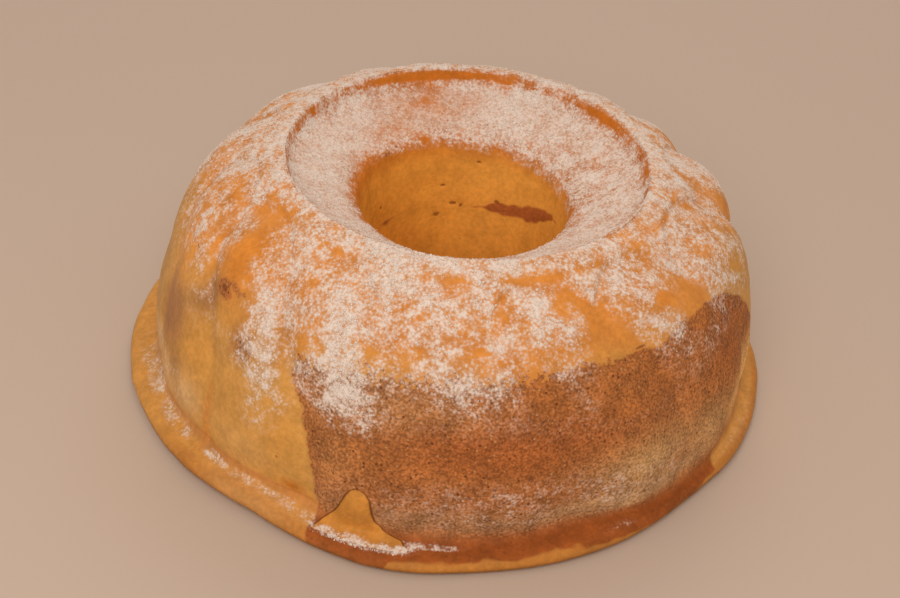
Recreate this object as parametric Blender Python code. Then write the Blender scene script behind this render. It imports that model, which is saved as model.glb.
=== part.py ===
"""Marbled ring cake with swirled flutes, a sharp crest, a centre hole and a low lip round its foot.

Metres, +Z up, standing on z = 0, front facing -Y. Lengths in the constants are millimetres.
Angles are degrees, counter-clockwise from +X seen from above, so the front is at 270.
"""
import bpy
import numpy as np

NODE = "cake"
MM = 0.001
CRUST_COLOUR = (0.46, 0.20, 0.055, 1.0)
CRUST_ROUGHNESS = 0.75

# Flutes: swirled lobes that meet in creases. The spread bumps turn them a few degrees from even.
FLUTES = 15
STEPS_PER_FLUTE = 8
FIRST_CREASE_DEG = 11.5
FLUTE_SPREAD_BUMPS = (
    (6.0, 43.0, 11.5),
    (135.0, 30.0, -5.0),
)
# Runs are lengths down the section from the crest.
SWIRL_DEG = 19.2
SWIRL_MIDDLE = 50.0
SWIRL_SPREAD = 12.0
CREASE_STARTS = 10.0
CREASE_FULL = 34.0
CREASE_EASES_UNTIL = 100.0
CREASE_DEPTH = 3.9
CREASE_DEPTH_AT_FOOT = 2.0
LOBE_POWER = 2.1

# The small step down where each lobe's rounded end begins, just outside the crest. Rings of
# points bend outwards by the reach, round the end of each lobe, and come level again below it.
ARCH_STARTS = 8.0
ARCH_REACH = 13.0
ARCH_POWER = 2.6
ARCH_DROP = 1.6
ARCH_WIDTH = 3.2
ARCH_FADE = (16.0, 34.0)
ARCH_BEND_STARTS = 3.0
ARCH_BEND_FADE = (11.0, 50.0)

# The lip is the batter that ran over the tin's rim, so its edge wanders. Each bump is an angle,
# a half-width in degrees and a height.
LIP_RADIUS = 130.6
LIP_WALL_RADIUS = 121.6
LIP_BUMPS = (
    (183.0, 30.0, 2.2),
    (237.0, 9.0, -1.7),
    (263.0, 12.0, 3.0),
    (321.0, 21.0, -4.4),
    (352.0, 14.0, -0.6),
    (38.0, 22.0, 1.6),
    (82.0, 14.0, -1.9),
    (118.0, 16.0, 1.5),
    (146.0, 10.0, -1.0),
)
LIP_HEIGHT_BUMPS = (
    (297.0, 11.0, 1.9),
    (208.0, 16.0, 0.7),
    (96.0, 20.0, 1.1),
    (20.0, 12.0, 0.8),
)
LIP_LIFT_BUMPS = (
    (233.0, 11.0, 1.4),
    (318.0, 14.0, 1.1),
    (70.0, 16.0, 1.2),
)
FOOT_BUMPS = (
    (237.0, 8.0, -2.6),
    (295.0, 10.0, -2.4),
    (60.0, 12.0, -2.0),
    (130.0, 10.0, -1.6),
)
LIP_HEIGHT_RISE = (2.0, 7.0)
LIP_LIFT_RISE = (0.2, 0.9)
FOOT_RISE = (70.0, 118.0)

# The shoulder sags and swells a little round the cake.
SHOULDER_BUMPS = (
    (12.0, 34.0, 1.8),
    (40.0, 17.0, -2.8),
    (160.0, 30.0, -0.6),
)
SHOULDER_RISE = (14.0, 40.0)
SHOULDER_FADE = (70.0, 112.0)

# The body leans very slightly towards the front, and stands off the middle of its lip.
LEAN = (0.8, -2.5)
AXIS = (1.25, 1.87)

# Cross-section from the crest outwards and down the fluted wall, over the lip, under the base,
# and up the hole and the funnel to the crest again, as (radius, height).
WALL = (
    (71.0, 98.6),
    (73.6, 98.3),
    (77.0, 97.2),
    (80.0, 95.9),
    (82.8, 94.7),
    (86.6, 92.9),
    (91.4, 90.2),
    (96.6, 86.8),
    (101.6, 82.6),
    (105.8, 77.6),
    (109.4, 71.8),
    (112.4, 65.2),
    (115.0, 57.6),
    (117.4, 48.6),
    (119.8, 38.6),
    (121.4, 28.2),
    (122.2, 19.0),
    (121.9, 12.4),
)
LIP = (
    (122.4, 9.0),
    (125.6, 7.6),
    (128.9, 6.2),
    (130.6, 3.6),
    (129.4, 1.1),
    (125.6, 0.2),
)
BASE = (
    (116.0, 0.0),
    (35.6, 0.0),
)
HOLE = (
    (33.2, 1.8),
    (33.6, 14.0),
    (36.4, 40.0),
    (39.6, 63.0),
    (41.2, 73.4),
    (43.0, 78.6),
)
FUNNEL = (
    (46.6, 81.6),
    (52.6, 84.6),
    (59.2, 87.6),
    (65.4, 90.6),
    (68.4, 93.0),
    (69.8, 96.8),
)

# How far either side of a place the section's slope is read, as a share of a station.
SLOPE_STEP = 0.2


def bumps(theta, table):
    """Sum of smooth swellings, each at an angle, with a half-width in degrees and a height."""
    total = np.zeros_like(theta)
    for centre, width, height in table:
        gap = (theta - centre + 180.0) % 360.0 - 180.0
        total += height * np.exp(-(gap / width) ** 2)
    return total


def smooth(low, high, x):
    """Rise from 0 at low to 1 at high with no corner at either end."""
    t = np.clip((x - low) / (high - low), 0.0, 1.0)
    return t * t * (3.0 - 2.0 * t)


def swirl(run):
    """How far the flutes have turned, in degrees, at a distance down from the crest."""
    return SWIRL_DEG / (1.0 + np.exp(-(run - SWIRL_MIDDLE) / SWIRL_SPREAD))


def fade(span, x):
    """Fall from 1 to 0 over a span."""
    return 1.0 - smooth(span[0], span[1], x)


def spline(points, at):
    """Smooth curve through points, read at places counted in points from the first."""
    n = len(points)
    i = np.clip(np.floor(at).astype(int), 0, n - 2)
    t = (at - i)[..., None]
    p0 = points[np.clip(i - 1, 0, n - 1)]
    p1 = points[i]
    p2 = points[i + 1]
    p3 = points[np.clip(i + 2, 0, n - 1)]
    first = 2.0 * p1 + (p2 - p0) * t
    second = (2.0 * p0 - 5.0 * p1 + 4.0 * p2 - p3) * t * t
    third = (3.0 * p1 - 3.0 * p2 + p3 - p0) * t * t * t
    return 0.5 * (first + second + third)


def flute_offset(run, side, past_edge):
    """Height of the fluted surface above the plain section, at a distance from the crest.

    side goes from 0 in the middle of a lobe to 1 at its creases. past_edge is the distance
    outside the rounded end of the lobe.
    """
    full = smooth(CREASE_STARTS, CREASE_FULL, run)
    ease = smooth(CREASE_FULL, CREASE_EASES_UNTIL, run)
    depth = full * (CREASE_DEPTH + (CREASE_DEPTH_AT_FOOT - CREASE_DEPTH) * ease)
    step = smooth(0.0, ARCH_WIDTH, past_edge) * fade(ARCH_FADE, run)
    return -depth * side ** LOBE_POWER - ARCH_DROP * step


def flute_angle(phase):
    """Angle of each column of points at the crest, with the flutes spread a little unevenly."""
    even = FIRST_CREASE_DEG + phase * 360.0 / FLUTES
    return even + bumps(even, FLUTE_SPREAD_BUMPS)


def section_at(points, runs, run):
    """Points of the section at some runs, and the unit direction that the section takes there."""
    at = np.interp(run, runs, np.arange(len(runs)))
    ahead = spline(points, np.minimum(at + SLOPE_STEP, len(runs) - 1.0))
    behind = spline(points, np.maximum(at - SLOPE_STEP, 0.0))
    along = ahead - behind
    along = along / np.hypot(along[:, 0], along[:, 1])[:, None]
    return spline(points, at), along


def wall_rings(phase):
    """Rings of the fluted wall, whose stations bend outwards round the end of each lobe."""
    points = np.array(WALL)
    steps = np.hypot(*np.diff(points, axis=0).T)
    runs = np.concatenate([[0.0], np.cumsum(steps)])
    side = np.abs(2.0 * (phase % 1.0) - 1.0)
    reach = ARCH_REACH * side ** ARCH_POWER
    rings_made = []
    for run in runs:
        bend = smooth(ARCH_BEND_STARTS, ARCH_STARTS, run) * fade(ARCH_BEND_FADE, run)
        here = run + reach * bend
        place, along = section_at(points, runs, here)
        off = flute_offset(here, side, run - ARCH_STARTS)
        theta = flute_angle(phase) + swirl(here)
        rr = place[:, 0] - off * along[:, 1]
        zz = place[:, 1] + off * along[:, 0]
        rr += bumps(theta, SHOULDER_BUMPS) * smooth(*SHOULDER_RISE, here) * fade(SHOULDER_FADE, here)
        rr += bumps(theta, FOOT_BUMPS) * smooth(*FOOT_RISE, here)
        rings_made.append((theta, rr, zz))
    return rings_made


def plain_rings(phase):
    """Rings of the lip, the base, the hole and the funnel, which have no flutes.

    They keep the foot's turn as far as the base, and turn back to the crest's up the hole.
    """
    rings_made = []
    outer = len(LIP) + len(BASE)
    inner = len(HOLE) + len(FUNNEL)
    for i, (radius, height) in enumerate(LIP + BASE + HOLE + FUNNEL):
        turned_back = max(0, i + 1 - outer) / (inner + 1.0)
        theta = flute_angle(phase) + SWIRL_DEG * (1.0 - turned_back)
        rr = np.full(len(phase), radius)
        zz = np.full(len(phase), height)
        if i < len(LIP):
            share = (radius - LIP_WALL_RADIUS) / (LIP_RADIUS - LIP_WALL_RADIUS)
            rr += share * bumps(theta, LIP_BUMPS)
            rr += (1.0 - share) * bumps(theta, FOOT_BUMPS)
            zz += bumps(theta, LIP_HEIGHT_BUMPS) * smooth(*LIP_HEIGHT_RISE, height)
            zz += bumps(theta, LIP_LIFT_BUMPS) * smooth(*LIP_LIFT_RISE, share)
        rings_made.append((theta, rr, zz))
    return rings_made


def rings():
    """Every ring of the cake in order, as points in metres."""
    phase = np.arange(FLUTES * STEPS_PER_FLUTE) / STEPS_PER_FLUTE
    made = []
    for theta, rr, zz in wall_rings(phase) + plain_rings(phase):
        angle = np.radians(theta)
        tall = zz / WALL[0][1]
        x = AXIS[0] + LEAN[0] * tall + rr * np.cos(angle)
        y = AXIS[1] + LEAN[1] * tall + rr * np.sin(angle)
        made.append(np.stack([x, y, zz], axis=1) * MM)
    return np.array(made)


def build():
    """Make the closed cake from its rings."""
    grid = rings()
    stations, count = grid.shape[:2]
    vertices = grid.reshape(-1, 3).tolist()
    faces = []
    for i in range(stations):
        below = (i + 1) % stations
        for j in range(count):
            right = (j + 1) % count
            a = i * count + j
            b = below * count + j
            c = below * count + right
            d = i * count + right
            faces.append((a, b, c))
            faces.append((a, c, d))
    mesh = bpy.data.meshes.new(NODE)
    mesh.from_pydata(vertices, [], faces)
    mesh.update()
    mesh.shade_smooth()
    cake = bpy.data.objects.new(NODE, mesh)
    bpy.context.scene.collection.objects.link(cake)
    return cake


def colour(cake):
    """Give the cake the colour of its golden crust."""
    material = bpy.data.materials.new("golden_crust")
    material.use_nodes = True
    shader = material.node_tree.nodes["Principled BSDF"]
    shader.inputs["Base Color"].default_value = CRUST_COLOUR
    shader.inputs["Roughness"].default_value = CRUST_ROUGHNESS
    material.diffuse_color = CRUST_COLOUR
    cake.data.materials.append(material)


for old in list(bpy.data.objects):
    bpy.data.objects.remove(old)
colour(build())
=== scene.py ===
"""Looks of the marbled ring cake: its baked crust, its marbling and its dusting of powdered sugar.

Lengths are millimetres in the cake's own terms and are turned into the frame's metres by UNIT.
Angles are degrees, counter-clockwise from +X seen from above, so the front is at 270.
A run is a length down the section from the crest. A phase counts flutes round the cake.
"""
import math

import bpy
import numpy as np
from mathutils import Matrix, Vector


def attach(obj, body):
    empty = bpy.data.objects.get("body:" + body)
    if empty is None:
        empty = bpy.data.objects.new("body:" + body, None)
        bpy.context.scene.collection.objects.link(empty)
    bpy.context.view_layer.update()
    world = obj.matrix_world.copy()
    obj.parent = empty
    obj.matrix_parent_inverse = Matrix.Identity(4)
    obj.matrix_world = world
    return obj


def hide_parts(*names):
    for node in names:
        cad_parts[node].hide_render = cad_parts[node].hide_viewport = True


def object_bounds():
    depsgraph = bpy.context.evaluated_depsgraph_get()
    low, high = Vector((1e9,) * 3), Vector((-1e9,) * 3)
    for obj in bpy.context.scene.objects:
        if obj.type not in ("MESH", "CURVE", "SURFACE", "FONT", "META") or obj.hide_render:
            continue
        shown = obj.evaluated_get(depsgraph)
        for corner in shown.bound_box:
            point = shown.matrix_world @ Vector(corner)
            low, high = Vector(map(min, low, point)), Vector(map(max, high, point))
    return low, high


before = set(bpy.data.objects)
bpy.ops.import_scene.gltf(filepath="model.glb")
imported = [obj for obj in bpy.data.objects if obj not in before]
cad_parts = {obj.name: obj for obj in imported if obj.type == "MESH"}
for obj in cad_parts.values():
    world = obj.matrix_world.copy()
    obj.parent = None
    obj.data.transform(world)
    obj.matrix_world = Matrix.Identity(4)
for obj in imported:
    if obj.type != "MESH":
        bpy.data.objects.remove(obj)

CAD_LOW, CAD_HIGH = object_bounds()
HEIGHT = 98.6
UNIT = (CAD_HIGH.z - CAD_LOW.z) / HEIGHT

# Section of the cake, as (radius, height), and the flutes on its wall.
FLUTES = 15
FIRST_CREASE_DEG = 11.5
FLUTE_SPREAD_BUMPS = ((6.0, 43.0, 11.5), (135.0, 30.0, -5.0))
SWIRL_DEG = 19.2
SWIRL_MIDDLE = 50.0
SWIRL_SPREAD = 12.0
CREASE_STARTS = 10.0
CREASE_FULL = 34.0
CREASE_EASES_UNTIL = 100.0
CREASE_DEPTH = 3.9
CREASE_DEPTH_AT_FOOT = 2.0
LOBE_POWER = 2.1
ARCH_STARTS = 8.0
ARCH_REACH = 13.0
ARCH_POWER = 2.6
ARCH_DROP = 1.6
ARCH_WIDTH = 3.2
ARCH_FADE = (16.0, 34.0)
ARCH_BEND_STARTS = 3.0
ARCH_BEND_FADE = (11.0, 50.0)
LIP_RADIUS = 130.6
LIP_WALL_RADIUS = 121.6
LIP_BUMPS = (
    (183.0, 30.0, 2.2),
    (237.0, 9.0, -1.7),
    (263.0, 12.0, 3.0),
    (321.0, 21.0, -4.4),
    (352.0, 14.0, -0.6),
    (38.0, 22.0, 1.6),
    (82.0, 14.0, -1.9),
    (118.0, 16.0, 1.5),
    (146.0, 10.0, -1.0),
)
LIP_HEIGHT_BUMPS = ((297.0, 11.0, 1.9), (208.0, 16.0, 0.7), (96.0, 20.0, 1.1), (20.0, 12.0, 0.8))
LIP_LIFT_BUMPS = ((233.0, 11.0, 1.4), (318.0, 14.0, 1.1), (70.0, 16.0, 1.2))
FOOT_BUMPS = ((237.0, 8.0, -2.6), (295.0, 10.0, -2.4), (60.0, 12.0, -2.0), (130.0, 10.0, -1.6))
LIP_HEIGHT_RISE = (2.0, 7.0)
LIP_LIFT_RISE = (0.2, 0.9)
FOOT_RISE = (70.0, 118.0)
SHOULDER_BUMPS = ((12.0, 34.0, 1.8), (40.0, 17.0, -2.8), (160.0, 30.0, -0.6))
SHOULDER_RISE = (14.0, 40.0)
SHOULDER_FADE = (70.0, 112.0)
LEAN = (0.8, -2.5)
AXIS = (1.25, 1.87)
WALL = (
    (71.0, 98.6), (73.6, 98.3), (77.0, 97.2), (80.0, 95.9), (82.8, 94.7), (86.6, 92.9),
    (91.4, 90.2), (96.6, 86.8), (101.6, 82.6), (105.8, 77.6), (109.4, 71.8), (112.4, 65.2),
    (115.0, 57.6), (117.4, 48.6), (119.8, 38.6), (121.4, 28.2), (122.2, 19.0), (121.9, 12.4),
)
LIP = ((122.4, 9.0), (125.6, 7.6), (128.9, 6.2), (130.6, 3.6), (129.4, 1.1), (125.6, 0.2))
BASE = ((116.0, 0.0), (35.6, 0.0))
HOLE = ((33.2, 1.8), (33.6, 14.0), (36.4, 40.0), (39.6, 63.0), (41.2, 73.4), (43.0, 78.6))
FUNNEL = ((46.6, 81.6), (52.6, 84.6), (59.2, 87.6), (65.4, 90.6), (68.4, 93.0), (69.8, 96.8))

# Fineness of the visible mesh: columns in a flute, and stations in each gap of the guide rings.
COLUMNS_PER_FLUTE = 32
FINE_WALL = 50.0
FINE_STEP = 0.72
COARSE_STEP = 1.02
LIP_STATIONS = (3, 4, 3, 3, 2, 2, 2)
BASE_STATIONS = (3,)
INSIDE_STATIONS = (1, 6, 26, 34, 16, 9, 5, 7, 8, 8, 8, 5, 7, 3)

# Length that each station of the lip counts for in a run.
LIP_STEP = 1.1

# Millimetres of wall for one degree of angle.
MM_PER_DEGREE = 2.05

# How far the crust stands back inside the CAD's box, to leave room for the sugar on it.
STAND_BACK = 0.6
MOST_RELIEF = 0.6

def bumps(theta, table):
    """Sum of smooth swellings, each an angle, a half-width in degrees and a height."""
    total = np.zeros_like(theta)
    for centre, width, height in table:
        gap = (theta - centre + 180.0) % 360.0 - 180.0
        total += height * np.exp(-(gap / width) ** 2)
    return total


def smooth(low, high, x):
    """Rise from 0 at low to 1 at high with no corner at either end."""
    t = np.clip((x - low) / (high - low), 0.0, 1.0)
    return t * t * (3.0 - 2.0 * t)


def fade(span, x):
    """Fall from 1 to 0 over a span."""
    return 1.0 - smooth(span[0], span[1], x)


def spline(points, at):
    """Smooth curve through points, read at places counted in points from the first."""
    n = len(points)
    i = np.clip(np.floor(at).astype(int), 0, n - 2)
    t = (at - i).reshape(at.shape + (1,) * (points.ndim - 1))
    p0 = points[np.clip(i - 1, 0, n - 1)]
    p1 = points[i]
    p2 = points[i + 1]
    p3 = points[np.clip(i + 2, 0, n - 1)]
    first = 2.0 * p1 + (p2 - p0) * t
    second = (2.0 * p0 - 5.0 * p1 + 4.0 * p2 - p3) * t * t
    third = (3.0 * p1 - 3.0 * p2 + p3 - p0) * t * t * t
    return 0.5 * (first + second + third)


WALL_POINTS = np.array(WALL)
WALL_RUNS = np.concatenate([[0.0], np.cumsum(np.hypot(*np.diff(WALL_POINTS, axis=0).T))])
WALL_LENGTH = WALL_RUNS[-1]


def swirl(run):
    """How far the flutes have turned, in degrees, at a run."""
    return SWIRL_DEG / (1.0 + np.exp(-(run - SWIRL_MIDDLE) / SWIRL_SPREAD))


def flute_angle(phase):
    """Angle of a phase at the crest, with the flutes spread a little unevenly."""
    even = FIRST_CREASE_DEG + phase * 360.0 / FLUTES
    return even + bumps(even, FLUTE_SPREAD_BUMPS)


def flute_offset(run, side, past_edge):
    """Height of the fluted surface above the plain section."""
    full = smooth(CREASE_STARTS, CREASE_FULL, run)
    ease = smooth(CREASE_FULL, CREASE_EASES_UNTIL, run)
    depth = full * (CREASE_DEPTH + (CREASE_DEPTH_AT_FOOT - CREASE_DEPTH) * ease)
    step = smooth(0.0, ARCH_WIDTH, past_edge) * fade(ARCH_FADE, run)
    return -depth * side ** LOBE_POWER - ARCH_DROP * step


def wall_grid(runs, phase):
    """Angle, radius, height and run of the fluted wall, stations down and columns round."""
    run = runs[:, None]
    side = np.abs(2.0 * (phase % 1.0) - 1.0)[None, :]
    bend = smooth(ARCH_BEND_STARTS, ARCH_STARTS, run) * fade(ARCH_BEND_FADE, run)
    here = run + ARCH_REACH * side ** ARCH_POWER * bend
    last = len(WALL_RUNS) - 1.0
    at = np.interp(here, WALL_RUNS, np.arange(len(WALL_RUNS)))
    place = spline(WALL_POINTS, at)
    along = spline(WALL_POINTS, np.minimum(at + 0.2, last)) - spline(WALL_POINTS, np.maximum(at - 0.2, 0.0))
    along = along / np.linalg.norm(along, axis=-1, keepdims=True)
    off = flute_offset(here, side, run - ARCH_STARTS)
    theta = flute_angle(phase)[None, :] + swirl(here)
    rr = place[..., 0] - off * along[..., 1]
    zz = place[..., 1] + off * along[..., 0]
    rr = rr + bumps(theta, SHOULDER_BUMPS) * smooth(*SHOULDER_RISE, here) * fade(SHOULDER_FADE, here)
    rr = rr + bumps(theta, FOOT_BUMPS) * smooth(*FOOT_RISE, here)
    return theta, rr, zz, here


def lip_rings(phase):
    """Guide rings of the lip, which follow its bumps, as (angle, radius, height)."""
    rings = []
    theta = flute_angle(phase) + SWIRL_DEG
    for radius, height in LIP:
        share = (radius - LIP_WALL_RADIUS) / (LIP_RADIUS - LIP_WALL_RADIUS)
        rr = radius + share * bumps(theta, LIP_BUMPS) + (1.0 - share) * bumps(theta, FOOT_BUMPS)
        zz = height + bumps(theta, LIP_HEIGHT_BUMPS) * smooth(*LIP_HEIGHT_RISE, height)
        zz = zz + bumps(theta, LIP_LIFT_BUMPS) * smooth(*LIP_LIFT_RISE, share)
        rings.append(np.stack([theta, rr, zz], axis=-1))
    return rings


def plain_ring(phase, radius, height, turned_back):
    """Guide ring with no bumps, turned back by a share of the swirl."""
    theta = flute_angle(phase) + SWIRL_DEG * (1.0 - turned_back)
    return np.stack([theta, np.full_like(theta, radius), np.full_like(theta, height)], axis=-1)


def between(rings, counts):
    """Stations spread along smooth curves through guide rings, with a count for each gap."""
    at = np.concatenate([i + np.arange(n) / n for i, n in enumerate(counts)])
    return spline(np.array(rings), at)


def inward_runs(rings):
    """Runs of the stations inside the crest, which are negative and grow towards it."""
    middle = rings[..., 1:].mean(axis=1)
    steps = np.hypot(*np.diff(middle, axis=0, append=[[WALL[0][0], WALL[0][1]]]).T)
    return -np.cumsum(steps[::-1])[::-1]


def cake_grid():
    """Angle, radius, height and run of the whole closed surface, and how far it is into a flute's arch."""
    phase = np.arange(FLUTES * COLUMNS_PER_FLUTE) / COLUMNS_PER_FLUTE
    runs = np.concatenate([
        np.arange(0.0, FINE_WALL, FINE_STEP), np.arange(FINE_WALL, WALL_LENGTH, COARSE_STEP)])
    theta, rr, zz, here = wall_grid(runs, phase)
    wall = np.stack([theta, rr, zz], axis=-1)
    foot = np.stack(wall_grid(np.array([WALL_LENGTH]), phase)[:3], axis=-1)[0]
    base_edge = plain_ring(phase, *BASE[0], 0.0)
    hole_edge = plain_ring(phase, *BASE[1], 0.0)
    lip = between([foot] + lip_rings(phase) + [base_edge], LIP_STATIONS)
    base = between([base_edge, hole_edge], BASE_STATIONS)
    guides = [hole_edge]
    for i, (radius, height) in enumerate(HOLE + FUNNEL):
        guides.append(plain_ring(phase, radius, height, (i + 1.0) / (len(HOLE + FUNNEL) + 1.0)))
    guides.append(wall[0])
    inside = between(guides, INSIDE_STATIONS)
    grid = np.concatenate([wall, lip, base, inside])
    lip_runs = WALL_LENGTH + LIP_STEP * np.arange(len(lip))
    base_runs = lip_runs[-1] + 1.0 + np.arange(len(base))
    run = np.concatenate([runs, lip_runs, base_runs, inward_runs(inside)])[:, None] + 0.0 * grid[..., 0]
    arch = np.full_like(run, -1.0)
    arch[:len(runs)] = here - ARCH_STARTS
    counts = (len(wall), len(lip), len(base), len(inside))
    return grid[..., 0], grid[..., 1], grid[..., 2], run, arch, counts


def to_xyz(theta, rr, zz):
    """Places in millimetres from angle, radius and height, about the cake's leaning axis."""
    angle = np.radians(theta)
    tall = zz / HEIGHT
    x = AXIS[0] + LEAN[0] * tall + rr * np.cos(angle)
    y = AXIS[1] + LEAN[1] * tall + rr * np.sin(angle)
    return np.stack([x, y, zz], axis=-1)


def grid_normals(xyz):
    """Outward unit normals of a grid that closes on itself both ways."""
    down = np.roll(xyz, -1, axis=0) - np.roll(xyz, 1, axis=0)
    across = np.roll(xyz, -1, axis=1) - np.roll(xyz, 1, axis=1)
    normal = np.cross(down, across)
    return normal / np.maximum(np.linalg.norm(normal, axis=-1, keepdims=True), 1e-9)


def ripple(place, size, seed, waves=44):
    """Smooth random field of unit spread, with blotches of about one size in millimetres."""
    pick = np.random.default_rng(seed)
    ways = pick.normal(size=(waves, 3))
    ways /= np.linalg.norm(ways, axis=1, keepdims=True)
    ways *= (pick.uniform(0.55, 1.6, waves) * math.pi / size)[:, None]
    starts = pick.uniform(0.0, 2.0 * math.pi, waves)
    total = np.zeros(place.shape[:-1])
    for way, start in zip(ways, starts):
        total += np.cos(place @ way + start)
    return total * math.sqrt(2.0 / waves)


def turn_from(theta, angle):
    """Angle between two directions, from -180 to 180 degrees."""
    return (theta - angle + 180.0) % 360.0 - 180.0


def near(theta, run, angle, wide, middle, tall, edge=2.0):
    """1 at a place on the crust, falling to 0 over an ellipse. A higher edge has a flatter top."""
    far = (turn_from(theta, angle) / wide) ** 2 + ((run - middle) / tall) ** 2
    return np.exp(-far ** (edge / 2.0))


def window(low, high, soft, x):
    """1 between two places, with soft ends."""
    return smooth(low - soft, low + soft, x) * fade((high - soft, high + soft), x)


# ---- Marbling: where the cocoa batter reaches the crust ----

# Each region: its middle angle, then top and bottom edges as (angle, run),
# then left and right edges as (run, angle).
COCOA_REGIONS = (
    (
        298.0,
        ((238, 51), (256, 49), (268, 47), (284, 47), (291, 43.5), (300, 44.5), (309, 44), (314, 47),
         (320, 43), (330, 42.5), (338, 46), (344, 55), (350, 68), (356, 84), (362, 100), (370, 118)),
        ((246, 150), (259, 150), (263, 122), (270, 120.6), (279, 120.6), (286, 121.2), (292, 120.6), (298, 122),
         (303, 123), (310, 124.6), (320, 125), (325, 123.2), (328, 120.5), (336, 111), (352, 109), (362, 108)),
        ((44, 240.5), (60, 240), (66, 242), (72, 243.8), (80, 245), (90, 246.3), (100, 247.5), (110, 248.6),
         (120, 249.2), (150, 249)),
        ((40, 352), (108, 366), (110, 329), (120, 327.5), (150, 326)),
    ),
    (
        58.0,
        ((12, 66), (18, 54), (27, 47), (36, 44), (44, 48), (54, 43), (63, 46), (70, 50), (80, 47), (88, 53), (98, 68)),
        ((8, 112), (22, 119), (46, 120), (66, 119), (84, 119.5), (99, 113)),
        ((40, 17), (58, 15.5), (76, 17.5), (96, 14), (120, 12.5)),
        ((40, 85), (58, 89), (72, 90.5), (86, 95), (100, 96), (120, 98)),
    ),
    (
        142.0,
        ((112, 96), (119, 74), (127, 60), (135, 57), (143, 51), (151, 52), (158, 60), (166, 77), (173, 98)),
        ((108, 106), (120, 114), (138, 117.5), (152, 116), (166, 112), (178, 104)),
        ((50, 125), (66, 120), (80, 118.5), (96, 114), (115, 110)),
        ((50, 160), (66, 165), (84, 166.5), (100, 172), (115, 176)),
    ),
)
# Smaller patches: angle, half width in degrees, run, half height, and degrees of slant for each mm of run.
COCOA_PATCHES = (
    (218.8, 3.1, 45.6, 3.4, 0.0),
    (221.4, 1.8, 42.6, 2.0, 0.0),
    (228.8, 2.1, 59.5, 4.2, 0.0),
    (108.0, 3.6, 58.0, 5.5, 0.15),
)
HOLE_STREAK = ((20, -52.6), (30, -55.4), (40, -58.4), (50, -61), (60, -62.6), (75, -64.6), (88, -66))
HOLE_STREAK_HALF = ((20, -0.5), (23, 1.0), (30, 3.0), (45, 3.3), (60, 2.3), (68, 1.5), (78, 0.5), (86, -0.3))
# Dark specks of cocoa: angle, run, half width and half height in millimetres.
SPECKS = (
    (218.4, 45.4, 2.0, 1.3), (107.0, -69.5, 1.5, 0.9), (96.5, -64.5, 2.0, 0.8), (91.5, -65.3, 0.9, 0.9), (103.5, -56.0, 1.1, 0.7),
    (83.0, -44.4, 0.9, 0.6), (68.5, -61.0, 1.4, 0.9), (150.0, -58.0, 0.8, 0.6), (139.0, -36.5, 1.6, 0.8),
    (132.0, -35.0, 1.0, 0.6), (283.0, -50.0, 1.6, 0.9), (236.0, -68.0, 1.3, 0.8), (325.0, -58.0, 1.4, 0.7),
    (309.6, 43.6, 2.2, 0.8), (311.2, 42.8, 0.8, 0.7), (285.5, 85.0, 0.6, 1.9), (294.3, 88.5, 1.3, 1.2),
    (308.5, 104.0, 1.0, 1.0), (313.5, 65.5, 1.1, 0.5), (308.0, 60.5, 0.9, 0.5), (313.0, 52.8, 0.9, 0.6),
    (237.2, 42.0, 0.9, 0.5), (204.0, 44.0, 0.7, 0.5), (240.3, 94.5, 0.6, 0.5), (222.0, 56.5, 0.9, 0.5),
    (48.0, 60.0, 1.4, 0.9), (66.0, 84.0, 1.1, 1.1), (84.0, 70.0, 0.9, 0.7), (30.0, 88.0, 1.2, 0.9),
    (139.0, 70.0, 1.3, 0.9), (151.0, 92.0, 1.0, 0.8), (113.0, 48.0, 0.9, 0.6), (176.0, 66.0, 1.0, 0.7),
)


def edge_at(points, x):
    """Height of an edge, given as points, at x."""
    xs, ys = np.array(points, dtype=float).T
    return np.interp(x, xs, ys)


def cocoa_field(theta, run, place):
    """Millimetres inside the nearest cocoa patch, negative outside, with a wavering edge."""
    field = np.full_like(run, -30.0)
    for middle, top, bottom, left, right in COCOA_REGIONS:
        angle = middle + turn_from(theta, middle)
        inside = np.minimum(run - edge_at(top, angle), edge_at(bottom, angle) - run)
        inside = np.minimum(inside, (angle - edge_at(left, run)) * MM_PER_DEGREE)
        inside = np.minimum(inside, (edge_at(right, run) - angle) * MM_PER_DEGREE)
        field = np.maximum(field, np.where(run > 0.0, inside, -30.0))
    for angle, wide, middle, tall, slant in COCOA_PATCHES:
        across = (turn_from(theta, angle) - slant * (run - middle)) / wide
        far = np.sqrt(across ** 2 + ((run - middle) / tall) ** 2)
        field = np.maximum(field, (1.0 - far) * min(wide * MM_PER_DEGREE, tall))
    angle = turn_from(theta, 50.0) + 50.0
    streak = edge_at(HOLE_STREAK_HALF, angle) - np.abs(run - edge_at(HOLE_STREAK, angle))
    field = np.maximum(field, np.where(run < 0.0, streak, -30.0))
    return field + 0.5 * ripple(place, 7.0, 11) + 0.25 * ripple(place, 2.6, 12)


def softness_field(theta, run):
    """1 where cocoa and vanilla run into each other in flecks, 0 where their border is clean."""
    front = near(theta, run, 264.0, 30.0, 48.0, 14.0, 4.0) + 0.7 * near(theta, run, 229.0, 4.0, 59.5, 7.0, 4.0)
    return np.maximum(front, 0.7 * near(theta, run, 46.0, 24.0, 46.0, 12.0, 4.0))


def speck_field(theta, run, radius):
    """1 on dark specks and 0 elsewhere, soft over half a millimetre or so."""
    total = np.zeros_like(run)
    for angle, at, wide, tall in SPECKS:
        across = turn_from(theta, angle) * radius * math.pi / 180.0 / wide
        total = np.maximum(total, np.exp(-(across ** 2 + ((run - at) / tall) ** 2) ** 1.5))
    return total


# ---- Tones of the two batters, lightly baked or well baked, and painted shade, as seen by the warm lamp ----

LAMP = np.array((0.82, 0.64, 0.52))


def seen(red, green, blue):
    """Surface colour that looks like this in the lamp's light."""
    return np.array((red, green, blue)) / LAMP


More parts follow.
